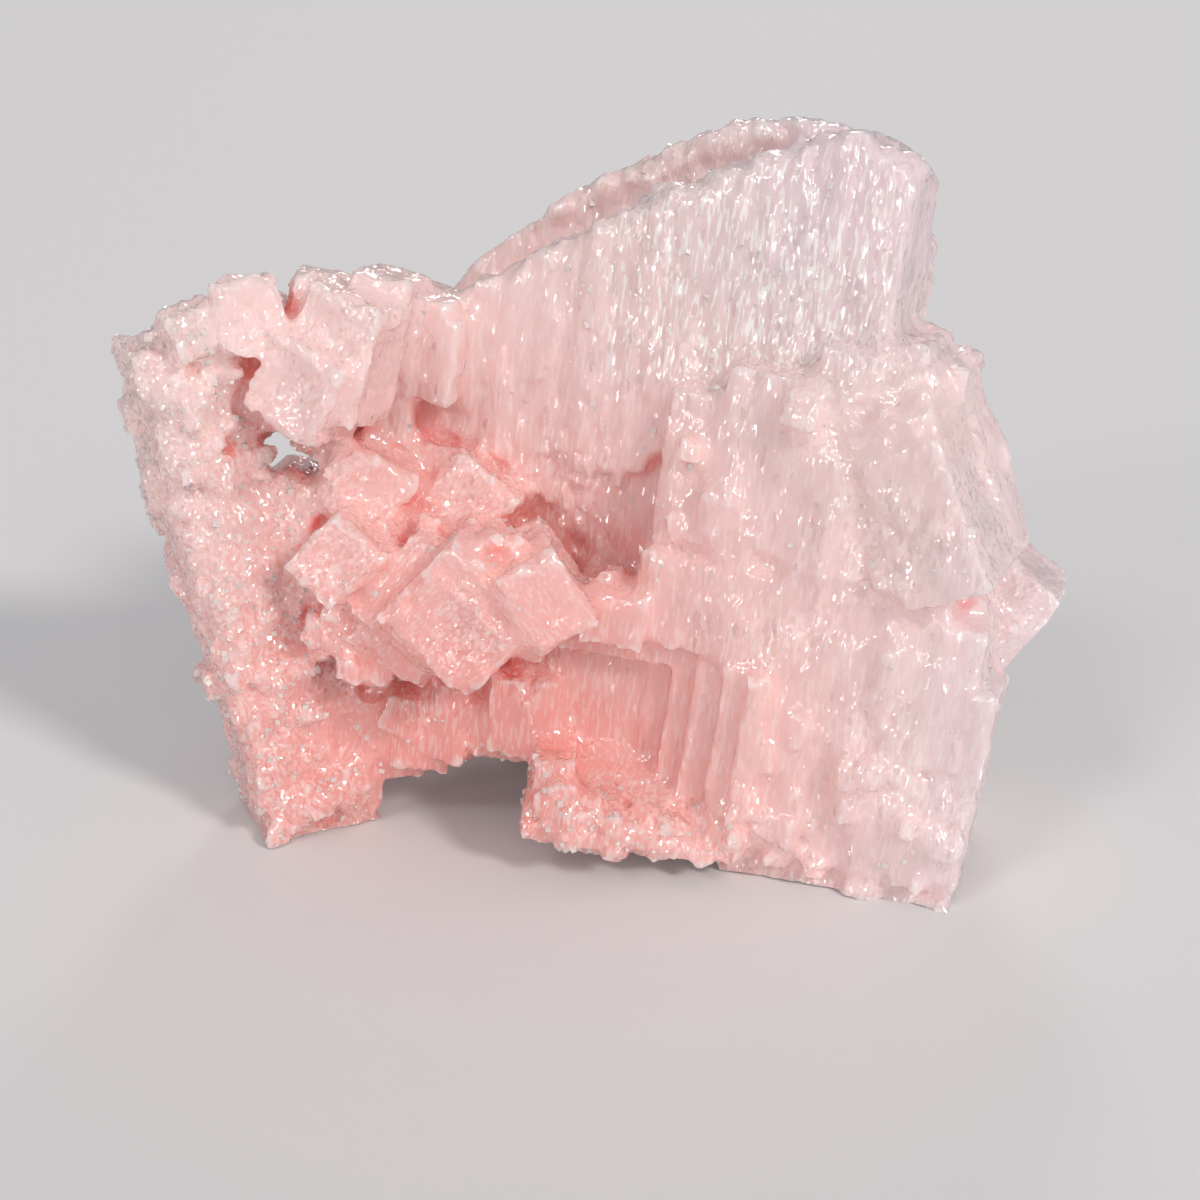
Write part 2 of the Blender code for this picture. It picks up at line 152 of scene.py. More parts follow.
FLAKES, PLATES = 26, 5
slope(MAIN, (-32.2, -24), (0.9, 3.0, 10), (30.5, 45))
slope(MAIN, (-27, -16), (0.3, 2.3, 10), (31.5, 47.5))
slope(MAIN, (-19, -8), (-0.1, 2.4, 10), (30.5, 49.5))
for _ in range(FLAKES):
    u, w, long = rng.uniform(-28, -15), rng.uniform(35.5, 42), rng.uniform(2.5, 6)
    leans = (0.25 + (w - 31) * 0.1 - 0.5, (w - 31) * 0.1 + 0.6, 8)
    slope(MAIN, (u, u + long), leans, (w, w + rng.uniform(0.4, 0.9)))
druse(MAIN, (-28.5, -22.5), (0.2, 0.9), (31.5, 36.5), 22, (0.7, 1.9), 30)
block(MAIN, (-33, -17.4), (0.0, 10), (21.4, 29.8))
for u in np.arange(-32.6, -17.6, 1.15):
    foot = 21.0 + rng.uniform(-0.9, 0.7)
    slope(MAIN, (u, u + 1.3), (rng.uniform(-0.3, 0.2), rng.uniform(-0.5, 0.2), 6), (foot, rng.uniform(24, 27)))
for n in range(PLATES):
    block(MAIN, (-17.4 + 1.5 * n, -16.5 + 1.5 * n), (0.3 + 0.15 * n, 6), (19.4 + 0.4 * n, 31.5))
block(MAIN, (-21.0, 0.8), (0.5, 8), (0.5, 21.6))
block(MAIN, (-7.5, -1.2), (4.8, 11), (22.0, 31.0))
palisade(
    MAIN, ((-20.8, 21.8), (-3, 22)), ((-20.8, 9), (-14, 6), (-8, 11), (-3, 8)), (-0.2, 5), 1.3, 0.7, 2.5
)

# ---------------------------------------------------------------------------------------------------
# The leaning crystals. The solid has the large ones, whose directions carry the steps and pits of their
# faces. Clumps of small cubes and a few filling crystals have grown in the crevices between them.
leaning = []  # lattice and half sizes of each


def crystal(centre, size, pitch, roll, yaw, grown=True):
    """A leaning crystal. One that the solid already has is only noted, for its directions."""
    own = lattice(centre, pitch, roll, yaw)
    half = np.array(size) / 2
    leaning.append((own, half))
    if not grown:
        block(own, (-half[0], half[0]), (-half[1], half[1]), (-half[2], half[2]))


for placed in (
    ((31.0, -9.5, 39.2), (10.0, 13.0, 20.0), -9, -21, -26), ((34.0, -1.6, 39.6), (8.0, 12.0, 17.0), -8, -21, -18),
    ((35.4, -1.4, 22.6), (11.5, 14, 20), 4, 34, -20), ((34.4, -4.6, 19.4), (8, 10, 17), 2, 25, -26),
    ((-12.8, 2.4, 31.4), (7.6, 9, 6.6), 4, 25, -12), ((-17.4, 5.4, 31.0), (7, 9, 8), -4, 32, -6),
    ((-12.2, -6.0, 27.0), (11.6, 12, 11.2), 4, 43, -8), ((-12.6, -7.0, 25.4), (9.6, 10, 8.2), 6, 40, -12),
    ((-15.4, -3.0, 26.6), (10.6, 12, 10.6), -2, 38, -14), ((-17.6, -1.0, 24.4), (9.4, 12, 10.4), -2, 35, -10),
    ((-5.6, -8.0, 29.4), (6.6, 11, 8.8), 6, -30, 6), ((-24.2, -4.0, 31.6), (6.6, 9, 7.8), 6, 42, -10),
    ((-22.6, 2.6, 37.0), (7.6, 11, 7.6), 0, 30, 4), ((-21.0, 4.0, 30.0), (9, 12, 9), 4, 52, -6),
    ((-32.6, -2.6, 54.0), (5.8, 7, 7.0), -4, -8, 16), ((-26.8, -3.8, 47.8), (8.2, 8, 8.6), 8, 27, -22),
    ((-22.8, -3.4, 50.4), (6.8, 7, 11.4), 3, 17, -26), ((-24.8, -0.6, 51.6), (6.6, 9, 9.6), 2, 24, -12),
    ((-2.0, 20.0, 44.0), (16, 15, 17), 8, 12, -34), ((12.0, 18.0, 36.0), (16, 15, 18), -6, -6, 20),
    ((22.0, 9.5, 22.0), (14, 14, 16), 0, 10, -30), ((-19.0, 15.0, 34.0), (14, 13, 15), 6, -20, 12),
    ((-27.5, 11.0, 22.0), (11, 10, 12), -8, 14, 30), ((-8.0, 23.0, 18.0), (14, 11, 15), 0, -12, 8),
):
    crystal(*placed)
druse(lattice((-18.6, -3.4, 30.0), roll=40, yaw=-10), (-5, 5), (-1.5, 1.5), (-5, 5), 34, (1.0, 2.8), 25)
druse(lattice((-22.5, -4.6, 22.6), roll=38, yaw=0), (-5, 3), (-1.0, 1.5), (-4, 4), 30, (1.0, 2.6), 25)
druse(lattice((-25.0, -1.0, 38.2), roll=20, yaw=-5), (-2.2, 3), (-1.5, 2.5), (-3.5, 3), 30, (1.2, 2.8), 25)
druse(lattice((-9.4, -6.6, 31.6), roll=-28, yaw=4), (-3, 3), (-4, -1.5), (-3.5, 3.5), 26, (0.8, 2.2), 25)
druse(SLAB, (-1, 9), (-1.8, 0.4), (38, 54), 60, (1.0, 2.4), 25)
for filling in (
    ((-26.6, 2.6, 11.0), (6.0, 7.0, 8.5), 0, 8, 10), ((-27.5, 2.6, 42.2), (4.6, 6.0, 5.0), 0, 24, 0),
    ((-31.6, 0.6, 48.4), (5.0, 6.0, 7.0), 0, 10, 10), ((-27.8, 1.8, 19.5), (6.0, 6.0, 12.0), 0, 10, 20),
    ((-15.6, 4.4, 36.6), (6.5, 6.0, 7.5), 0, 12, -20), ((-12.5, 2.4, 34.4), (8.0, 8.0, 9.0), 3, 37, -14),
    ((-17.0, 2.6, 33.6), (5.0, 6.0, 5.0), 3, 30, -14), ((-10.0, -6.4, 31.8), (5.0, 5.2, 4.6), 3, 43, -8),
):
    crystal(*filling, grown=False)

# ---------------------------------------------------------------------------------------------------
# The salt itself: one skin of cloudy pink halite round the whole mass. The blocks are melted together and
# their crevices grown shut, then ribs, steps, pits and grains push the skin in and out, and it is thinned
# to the points that its detail needs.
VOXEL = 0.31 * MM
MOST_FACES = 192_000
SIDES = np.array([(0, 1, 3, 2), (4, 6, 7, 5), (0, 4, 5, 1), (2, 3, 7, 6), (0, 2, 6, 4), (1, 5, 7, 3)])

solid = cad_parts["halite_cluster"].data
solid.calc_loop_triangles()
points = np.array([v.co for v in solid.vertices]) / MM
faces = [tuple(t.vertices) for t in solid.loop_triangles]
faces += [tuple(len(points) + 8 * n + side) for n in range(len(shapes)) for side in SIDES]
rough = bpy.data.meshes.new("rough")
rough.from_pydata(np.vstack([points, *shapes]) * MM, [], faces)
body = bpy.data.objects.new("salt_body", rough)
bpy.context.scene.collection.objects.link(body)


def bake_modifier(piece, kind, **settings):
    """Adds one modifier and keeps its result as the piece's mesh."""
    modifier = piece.modifiers.new(kind, kind)
    for name, value in settings.items():
        setattr(modifier, name, value)
    bpy.context.view_layer.update()
    made = bpy.data.meshes.new_from_object(piece.evaluated_get(bpy.context.evaluated_depsgraph_get()))
    piece.modifiers.clear()
    piece.data = made


def read(mesh):
    """Points of a mesh in mm, its normals and its edges."""
    co = np.empty(len(mesh.vertices) * 3, np.float32)
    mesh.vertices.foreach_get("co", co)
    no = np.empty(len(mesh.vertices) * 3, np.float32)
    mesh.vertex_normals.foreach_get("vector", no)
    edges = np.empty(len(mesh.edges) * 2, np.int32)
    mesh.edges.foreach_get("vertices", edges)
    return co.reshape(-1, 3).astype(float) / MM, no.reshape(-1, 3).astype(float), edges.reshape(-1, 2)


def write(mesh, co):
    """Moves a mesh's points to these places in mm."""
    mesh.vertices.foreach_set("co", (co * MM).astype(np.float32).ravel())
    mesh.update()


def spread(values, edges, steps):
    """Averages values over neighbouring points, again and again."""
    count = np.maximum(np.bincount(edges.ravel(), minlength=len(values)), 1)
    for _ in range(steps):
        total = np.stack([
            np.bincount(edges[:, 0], column[edges[:, 1]], len(values))
            + np.bincount(edges[:, 1], column[edges[:, 0]], len(values)) for column in values.T
        ], axis=1)
        values = (values + total) / (1 + count)[:, None]
    return values


def bulge(co, no, edges, steps):
    """How far each point stands out of its surroundings, in mm along its normal."""
    return np.einsum("ij,ij->i", co - spread(co, edges, steps), no)


def chance(cell, seed):
    """A number from 0 to 1 for each whole-numbered cell."""
    mixed = (cell[..., 0] * 73856093) ^ (cell[..., 1] * 19349663) ^ (cell[..., 2] * 83492791) ^ (seed * 40503)
    mixed = (mixed ^ (mixed >> 15)) * 2246822519 & 0xFFFFFFFF
    mixed = (mixed ^ (mixed >> 13)) * 3266489917 & 0xFFFFFFFF
    return ((mixed ^ (mixed >> 16)) & 0xFFFFFF) / 0xFFFFFF


def cloud(at, size, seed):
    """Smooth noise from -1 to 1, with bumps about as wide as size."""
    at = at / size
    cell = np.floor(at).astype(np.int64)
    part = at - cell
    part = part * part * (3 - 2 * part)
    total = np.zeros(len(at))
    for corner in CORNERS.astype(np.int64):
        weight = np.prod(np.where(corner, part, 1 - part), axis=1)
        total += weight * chance(cell + corner, seed)
    return total * 2 - 1


def cubes(at, size, seed):
    """Cells of grown cubes: how far from its middle, how far from the next one, and a number for it."""
    at = at / size
    cell = np.floor(at).astype(np.int64)
    near = np.full(len(at), 9.0)
    second = np.full(len(at), 9.0)
    own = np.zeros(len(at))
    for shift in np.ndindex(3, 3, 3):
        other = cell + np.array(shift) - 1
        centre = np.stack([chance(other, seed + k) for k in range(3)], axis=1) * 0.8 + 0.1
        away = ((at - other - centre) ** 4).sum(axis=1) ** 0.25
        closer = away < near
        second = np.where(closer, near, np.minimum(second, away))
        own = np.where(closer, chance(other, seed + 3), own)
        near = np.where(closer, away, near)
    return near, second - near, own


def lumps(at, size, seed, tall, sunk, uneven):
    """Rounded grains side by side, each a little higher or lower than the next."""
    near, _, own = cubes(at, size, seed)
    return np.sqrt(np.clip(1 - (near / 0.66) ** 2, 0, 1)) * tall - sunk + (own - 0.5) * uneven


def fade(value, low, high):
    """0 below low, 1 above high, and smooth between."""
    part = np.clip((value - low) / (high - low), 0, 1)
    return part * part * (3 - 2 * part)


def seen_from(own, at):
    """Points in mm, as placed in one lattice."""
    back = np.array(own.inverted())
    return at @ back[:3, :3].T + back[:3, 3]


def within(place, u, v, w, soft=1.5):
    """1 inside a box of a lattice, and 0 outside, with a soft border."""
    inside = np.ones(len(place))
    for axis, (start, end) in enumerate((u, v, w)):
        past_start = fade(place[:, axis], start - soft, start + soft)
        before_end = fade(-place[:, axis], -end - soft, -end + soft)
        inside *= past_start * before_end
    return inside


def recess_at(main_place):
    return within(main_place, (-50, -31), (6.5, 30), (16, 36))


def hopper_at(hopper_place):
    return within(hopper_place, (-15, 0.8), (-1.5, 30), (8.5, 20.5))


def directions(at):
    """For each point, its place in the crystal that it belongs to, and which crystal that is."""
    place, owner = seen_from(MAIN, at), np.zeros(len(at), int)
    for number, (own, low, high) in enumerate((
        (HOPPER, (-27, -4, -2), (1.2, 14, 22)), (SLAB, (-6, -4, -6), (9.5, 14, 60)),
    ), 1):
        inside = seen_from(own, at)
        chosen = ((inside > low) & (inside < high)).all(axis=1)
        place[chosen], owner[chosen] = inside[chosen], number
    for number, (own, half) in enumerate(leaning, 3):
        inside = seen_from(own, at)
        chosen = (np.abs(inside) < half + 0.7).all(axis=1)
        place[chosen], owner[chosen] = inside[chosen], number
    return place, owner


def turns(owner):
    """The rotation of each point's own crystal."""
    return np.array([np.array(own.to_3x3()) for own in (MAIN, HOPPER, SLAB, *(own for own, _ in leaning))])[owner]


bake_modifier(body, "WELD", merge_threshold=1e-6)
bake_modifier(body, "REMESH", mode="VOXEL", voxel_size=VOXEL)

# No face is quite flat and no edge quite straight, least of all on the oldest crystals.
co, no, edges = read(body.data)
wander = np.stack([cloud(co, 9.0, 1 + k) * 0.40 + cloud(co, 3.4, 5 + k) * 0.16 for k in range(3)], axis=1)
wander *= np.where(directions(co)[1] > 2, 0.5, 1.0)[:, None]
wander[co[:, 2] < 0.4] *= 0.3
co += wander

# Salt grows into the crevices, but not into the hopper's steps or the stepped recess.
FILL_ROUNDS, FILL_REACH = 6, 14
main_place, hopper_place = seen_from(MAIN, co), seen_from(HOPPER, co)
stepped = within(hopper_place, (-16, 0.8), (-1.5, 30), (8.5, 23)) * (main_place[:, 0] < -21.0)
growing = 1 - np.maximum(stepped, within(main_place, (-50, -31), (4, 30), (29, 40)))
for _ in range(FILL_ROUNDS):
    hollow = -bulge(co, no, edges, FILL_REACH)
    co += no * (np.clip(hollow - 0.02, 0, 0.6) * growing)[:, None]
    write(body.data, co)
    no = read(body.data)[1]
bake_modifier(body, "REMESH", mode="VOXEL", voxel_size=VOXEL)

# Where the skin is smooth, sugar-grained or ribbed.
co, no, edges = read(body.data)
main_place, hopper_place = seen_from(MAIN, co), seen_from(HOPPER, co)
place, owner = directions(co)
facing = np.abs(np.einsum("nji,nj->ni", turns(owner), no))
smooth = np.maximum(recess_at(main_place), hopper_at(hopper_place) * (main_place[:, 0] < -21.2))
on_slab = (owner == 2) * 1.0
on_foot = within(hopper_place, (-22, 1), (-4, 16), (0, 7.5)) * (owner == 1)
patchy = fade(cloud(co, 6.5, 31) + 0.35 * cloud(co, 2.4, 32), 0.15, 0.55)
crown = within(main_place, (-58, -13), (3, 30), (36, 72)) * (owner == 0)
block_low = within(main_place, (-22, 3), (-3, 8), (-2, 14), 2.5)
sugary = on_slab * (0.55 + 0.45 * patchy) + on_foot + block_low * patchy + patchy * 0.7 * (1 - crown)
sugary = np.clip(sugary, 0, 1)
sugary = np.where(co[:, 0] < -29, np.maximum(sugary, 0.75), sugary)
sugary *= (1 - smooth) * np.where((owner > 2) & (co[:, 0] > -29), 0.3, 1.0)
ribbed = np.clip(facing[:, 1] * 1.3 - 0.3, 0, 1) * (owner == 0) * (1 - smooth) * np.where(crown > 0.5, 1.0, 0.45)

# Ribs run up the faces, lumps and grains cover the sugary parts, and terraces step down the leaning cubes.
stretched = place * (1.0, 1.0, 0.16)
_, groove, own = cubes(stretched + cloud(place, 2.5, 40)[:, None] * (0.25, 0, 0.05), 1.0, 50)
rib_height = (own - 0.5) * 0.42 - 0.16 * fade(-groove, -0.14, 0.0)
coarse = lumps(place, 2.3, 60, 1.3, 1.0, 0.5)
fine = lumps(place + 7.7, 1.05, 70, 0.5, 0.4, 0.25)
halves = np.array([(99.0, 99.0, 99.0)] * 3 + [half for _, half in leaning])[owner]
outward = np.sort(np.abs(place) / halves, axis=1)[:, 1]
share = outward + cloud(place, 2.2, 81) * 0.07
terraces = -0.30 * fade(-share, -0.74, -0.70) - 0.26 * fade(-share, -0.50, -0.46) - 0.2 * fade(-share, -0.27, -0.23)
plates = np.floor(cloud(place * (1, 1, 0.22), 2.6, 95) * 2.5 + 0.5) / 2.5 * 0.5
terraces = np.where(owner > 2, terraces, plates * (1 - crown * 0.7))
chips = fade(outward, 0.76, 0.98) * fade(cloud(place, 1.9, 97) + 0.4 * cloud(place, 0.9, 98), 0.0, 0.5) * 0.6
terraces -= (owner > 2) * chips
height = ribbed * rib_height * 1.1 + sugary * (coarse * 0.8 + fine * 0.8) + (1 - smooth) * terraces
height += (1 - smooth) * (1 - sugary) * (fine * (0.14 + 0.4 * patchy) + cloud(co, 1.3, 91) * 0.14)
height = np.clip(height, -1.1, 0.9)

# The sides break off in ragged notches just over the ground, and the flat that the cluster stands on stays.
height *= fade(co[:, 2], 0.0, 0.8)
notches = fade(cloud(co, 2.4, 99) + 0.5 * cloud(co, 1.1, 100), -0.3, 0.6)
height -= fade(-co[:, 2], -3.4, -0.4) * fade(-np.abs(no[:, 2]), -0.8, -0.5) * notches * 1.4
co += no * height[:, None]
co[:, 2] = np.maximum(co[:, 2], 0.0)
box_low, box_high = (np.array(corner) / MM for corner in cad_box)
write(body.data, np.clip(co, box_low, box_high))
bake_modifier(body, "REMESH", mode="VOXEL", voxel_size=VOXEL)

CRISP = 0.55
co, no, edges = read(body.data)
co += (co - spread(co, edges, 3)) * CRISP
co[:, 2] = np.maximum(co[:, 2], 0.0)
write(body.data, np.clip(co, box_low, box_high))
thinned = MOST_FACES / (2 * len(body.data.polygons))
bake_modifier(body, "DECIMATE", ratio=thinned, use_collapse_triangulate=True)

# How deep each point lies in a crevice, from short rays sent out round its normal. It sets the painted shade in the
# crevices below.
RAYS, REACH = 9, 16 * MM
GOLDEN = math.pi * (3 - math.sqrt(5))
co, no, edges = read(body.data)
tree = BVHTree.FromPolygons((co * MM).tolist(), [tuple(p.vertices) for p in body.data.polygons])
fan = []
for k in range(RAYS):
    r = (k + 0.5) / RAYS
    fan.append(Vector((math.sqrt(r) * math.cos(GOLDEN * k), math.sqrt(r) * math.sin(GOLDEN * k), math.sqrt(1 - r))))
closed_in = np.empty(len(co))
for n, (spot, normal) in enumerate(zip(co * MM, no)):
    normal = Vector(normal)
    if normal.length < 0.1:
        normal = Vector((0, 0, 1))
    turn = normal.to_track_quat("Z", "Y")
    start = Vector(spot) + normal * 0.15 * MM
    total = 0.0
    for ray in fan:
        struck = tree.ray_cast(start, turn @ ray, REACH)[3]
        if struck is not None:
            total += 1 - struck / REACH
    closed_in[n] = total / RAYS
closed_in = spread(closed_in[:, None], edges, 3)[:, 0]

# The salt is pinkest over the arch and mauve at the right. Grainy parts sparkle, the crown has white
# streaks that are painted glints with some frosting, the crevices take a painted deeper shade, raised edges
# a painted highlight, and the two stains are specks of iron.
place, owner = directions(co)
main_place, hopper_place = seen_from(MAIN, co), seen_from(HOPPER, co)
rim = bulge(co, no, edges, 4)
pinkness = np.clip(1 - np.linalg.norm((co - (-14.5, -8, 9)) * (1, 0.5, 1), axis=1) / 56, 0, 1)
mauve = np.maximum(
    fade(main_place[:, 2], 40, 60) * fade(main_place[:, 0], -46, -20), 0.85 * fade(main_place[:, 0], -14, 3)
)
bare = np.maximum(recess_at(main_place), hopper_at(hopper_place))
crusted = fade(cloud(co, 6.5, 31) + 0.35 * cloud(co, 2.4, 32), 0.0, 0.45)
sugar = np.clip((owner == 2) * 1.0 + crusted + (hopper_place[:, 2] < 8) * (owner == 1), 0, 1) * (1 - bare)
streaks = within(main_place, (-40, -14), (3, 9), (44, 66), 4)
sparkle = np.clip(0.08 + 0.5 * sugar + 0.9 * streaks * fade(cloud(co, 5, 33), -0.5, 0.2), 0, 1) * (1 - bare * 0.8)
stain = np.zeros(len(co))
for spot, reach in (((-31.5, -8.5, 40.8), 1.7), ((-8.4, -14.0, 34.3), 1.0)):
    away = np.linalg.norm((co - spot) * (1.6, 0.4, 0.8), axis=1)
    stain = np.maximum(stain, fade(-away, -reach, -reach * 0.3))

for name, values in (
    ("rim", rim), ("closed_in", closed_in), ("pinkness", pinkness), ("mauve", mauve),
    ("sugar", sugar), ("sparkle", sparkle), ("streaks", streaks), ("stain", stain),
):
    body.data.attributes.new(name, "FLOAT", "POINT").data.foreach_set("value", values.astype(np.float32))
grain_place = place * np.where((owner > 1)[:, None], (1, 1, 2.6), 1)
crystal_place = body.data.attributes.new("crystal", "FLOAT_VECTOR", "POINT")
crystal_place.data.foreach_set("vector", grain_place.astype(np.float32).ravel())
body.data.shade_smooth()
body.data.set_sharp_from_angle(angle=math.radians(32))


def new_material(name):
    """A node material: itself, its node tree and its shader."""
    material = bpy.data.materials.new(name)
    material.use_nodes = True
    tree = material.node_tree
    return material, tree, tree.nodes["Principled BSDF"]


def feed(tree, node, key, value):
    """Links a node's input to a socket, or sets it to a value."""
    if isinstance(value, bpy.types.NodeSocket):
        tree.links.new(value, node.inputs[key])
    else:
        node.inputs[key].default_value = value


def put(tree, kind, inputs=(), **settings):
    """Adds a node with these settings and inputs."""
    node = tree.nodes.new(kind)
    for key, value in settings.items():
        setattr(node, key, value)
    for key, value in dict(inputs).items():
        feed(tree, node, key, value)
    return node


def attribute(tree, name, output="Fac"):
    return put(tree, "ShaderNodeAttribute", attribute_name=name).outputs[output]


def times(tree, first, second):
    return put(tree, "ShaderNodeMath", {0: first, 1: second}, operation="MULTIPLY").outputs[0]


def remap(tree, value, low, high, to_low=0.0, to_high=1.0):
    """Takes a range of values smoothly to another."""
    inputs = {"Value": value, "From Min": low, "From Max": high, "To Min": to_low, "To Max": to_high}
    return put(tree, "ShaderNodeMapRange", inputs, interpolation_type="SMOOTHSTEP").outputs["Result"]


def blend(tree, amount, first, second):
    """Mixes two colours."""
    node = put(tree, "ShaderNodeMix", data_type="RGBA")
    for key, value in ((0, amount), (6, first), (7, second)):
        feed(tree, node, key, value)
    return node.outputs[2]


def leaning_facets():
    """Small crystal facets: some cells of the pattern lean their own way, so that they catch the light."""
    group = bpy.data.node_groups.new("leaning_facets", "ShaderNodeTree")
    for name, kind in (("Place", "NodeSocketVector"), ("Share", "NodeSocketFloat")):
        group.interface.new_socket(name, in_out="INPUT", socket_type=kind)
    group.interface.new_socket("Normal", in_out="OUTPUT", socket_type="NodeSocketVector")
    for name in ("Tone", "Veil", "Frost"):
        group.interface.new_socket(name, in_out="OUTPUT", socket_type="NodeSocketFloat")
    given = put(group, "NodeGroupInput").outputs

    def vector(operation, first, second):
        return put(group, "ShaderNodeVectorMath", {0: first, 1: second}, operation=operation).outputs[0]

    def lean(value, centre, scale):
        centred = vector("SUBTRACT", value, centre)
        return put(group, "ShaderNodeVectorMath", {0: centred, "Scale": scale}, operation="SCALE").outputs[0]

    facet_place = vector("MULTIPLY", given["Place"], (1.0, 1.0, 0.32))
    cells = put(group, "ShaderNodeTexVoronoi", {"Vector": facet_place, "Scale": 2.7}).outputs["Color"]
    dice = put(group, "ShaderNodeTexWhiteNoise", {"Vector": cells}).outputs["Value"]
    chosen = put(group, "ShaderNodeMath", {0: dice, 1: given["Share"]}, operation="LESS_THAN").outputs[0]
    ripple_place = vector("MULTIPLY", given["Place"], (1.0, 1.0, 0.16))
    ripple = put(group, "ShaderNodeTexNoise", {"Vector": ripple_place, "Scale": 3.0, "Detail": 1.0}).outputs["Color"]
    leant = lean(cells, (0.5, 0.5, 0.1), times(group, chosen, 0.8))
    leant = vector("ADD", leant, lean(ripple, (0.5, 0.5, 0.5), 0.5))
    leant = vector("ADD", leant, put(group, "ShaderNodeNewGeometry").outputs["Normal"])
    unit = put(group, "ShaderNodeVectorMath", {0: leant}, operation="NORMALIZE").outputs[0]
    channels = put(group, "ShaderNodeSeparateColor", {"Color": ripple}).outputs
    put(group, "NodeGroupOutput", {"Normal": unit, "Tone": dice, "Veil": channels["Red"], "Frost": channels["Green"]})
    return group


PALE_SALT, SALMON, CREVICE_SHADE_PINK, LILAC = (
    (0.91, 0.67, 0.645, 1), (0.90, 0.34, 0.30, 1), (0.89, 0.13, 0.11, 1), (0.84, 0.66, 0.69, 1),
)
VEIL_WHITE, STREAK_GLINT_WHITE, CRUMB_WHITE, EDGE_HIGHLIGHT_WHITE, IRON_BROWN = (
    (0.97, 0.89, 0.87, 1), (1.0, 0.97, 0.93, 1), (1.0, 0.93, 0.90, 1), (0.98, 0.90, 0.88, 1), (0.42, 0.22, 0.10, 1),
)
HALITE_IOR = 1.54

salt, nodes, shader = new_material("pink_salt")
sparkling = remap(nodes, attribute(nodes, "sparkle"), 0, 1, 0.08, 0.85)
facets = put(
    nodes, "ShaderNodeGroup", {"Place": attribute(nodes, "crystal", "Vector"), "Share": sparkling},
    node_tree=leaning_facets(),
).outputs
# Deeper pink in the crevices: partly the salt's own colour, mostly painted shade and a painted glow of light that has
# passed through the salt.
deep = remap(nodes, attribute(nodes, "closed_in"), 0.2, 0.85)
frosted = remap(nodes, facets["Veil"], 0.52, 0.64)
# White streaks on the crown: painted glints, partly frosted etched streaks.
streak_glints = times(nodes, frosted, attribute(nodes, "streaks"))
crumbs = times(nodes, remap(nodes, facets["Tone"], 0.5, 0.9), attribute(nodes, "sugar"))
# Raised edges whitened: a painted highlight of light through thin edges, partly frosting.
edge_highlight = remap(nodes, attribute(nodes, "rim"), 0.06, 0.45)
colour = blend(nodes, remap(nodes, attribute(nodes, "pinkness"), 0, 1), PALE_SALT, SALMON)
colour = blend(nodes, attribute(nodes, "mauve"), colour, LILAC)
for mask, most, tint in (
    (deep, 0.8, CREVICE_SHADE_PINK), (frosted, 0.22, VEIL_WHITE), (streak_glints, 0.85, STREAK_GLINT_WHITE),
    (crumbs, 0.24, CRUMB_WHITE), (edge_highlight, 0.5, EDGE_HIGHLIGHT_WHITE),
):
    colour = blend(nodes, remap(nodes, mask, 0, 1, 0, most), colour, tint)
colour = blend(nodes, attribute(nodes, "stain"), colour, IRON_BROWN)
nodes.links.new(colour, shader.inputs["Base Color"])
nodes.links.new(remap(nodes, facets["Frost"], 0.40, 0.60, 0.06, 0.22), shader.inputs["Roughness"])
nodes.links.new(facets["Normal"], shader.inputs["Normal"])
shader.subsurface_method = "BURLEY"
shader.inputs["Subsurface Weight"].default_value = 0.6
shader.inputs["Subsurface Radius"].default_value = (1.0, 0.74, 0.68)
shader.inputs["Subsurface Scale"].default_value = 0.006
shader.inputs["IOR"].default_value = HALITE_IOR
shader.inputs["Specular IOR Level"].default_value = 1.0
body.data.materials.clear()
body.data.materials.append(salt)
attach(body, "root")
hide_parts("halite_cluster")

# ---------------------------------------------------------------------------------------------------
# The sugar crust: thousands of clear little salt cubes, half sunk in the grainy parts of the skin. They
# follow the lattice below them, a little askew, and their flat faces add to the sparkle.
GRAINS = 3500
SMALLEST, LARGEST = 0.2, 0.6
LEAN, SUNK = 28, 0.62

dice = np.random.default_rng(3)
clumps = fade(cloud(co, 6.0, 90), -0.1, 0.5)
on_rim = (owner == 1) * fade(-hopper_place[:, 2], -9, -6)
likely = (0.02 + 0.4 * clumps + 1.0 * (owner == 2) + 0.8 * on_rim) * (1 - bare)
likely *= np.where(owner > 2, 0.35, 1.0)
corners = np.empty(len(body.data.polygons) * 3, np.int32)
body.data.polygons.foreach_get("vertices", corners)
corners = corners.reshape(-1, 3)
across = np.cross(co[corners[:, 1]] - co[corners[:, 0]], co[corners[:, 2]] - co[corners[:, 0]])
weight = np.linalg.norm(across, axis=1) * likely[corners].mean(axis=1)
weight[co[corners][:, :, 2].min(axis=1) < 0.5] = 0
chosen = corners[dice.choice(len(corners), GRAINS, p=weight / weight.sum())]
part = dice.dirichlet((1, 1, 1), GRAINS)
spots, normals = (co[chosen] * part[:, :, None]).sum(axis=1), no[chosen].mean(axis=1)

edge = SMALLEST + (LARGEST - SMALLEST) * dice.random(GRAINS) ** 3
angles = np.radians(dice.uniform(-LEAN, LEAN, (GRAINS, 3)))
tilts = np.array([np.array(Euler(a).to_matrix()) for a in angles])
boxes = (CORNERS - 0.5)[None] * (edge[:, None] * dice.uniform(0.7, 1.2, (GRAINS, 3)))[:, None]
boxes = np.einsum("nij,nkj->nki", turns(owner[chosen[:, 0]]) @ tilts, boxes)
boxes += (spots + normals * (edge * (0.5 - SUNK))[:, None])[:, None]
boxes[..., 2] = np.maximum(boxes[..., 2], 0.02)
boxes = np.clip(boxes, box_low, box_high)
quads = (SIDES[None] + 8 * np.arange(GRAINS)[:, None, None]).reshape(-1, 4)
crust_mesh = bpy.data.meshes.new("sugar_crust")
crust_mesh.from_pydata(boxes.reshape(-1, 3) * MM, [], quads.tolist())
crust = bpy.data.objects.new("sugar_crust", crust_mesh)
bpy.context.scene.collection.objects.link(crust)
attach(crust, "root")

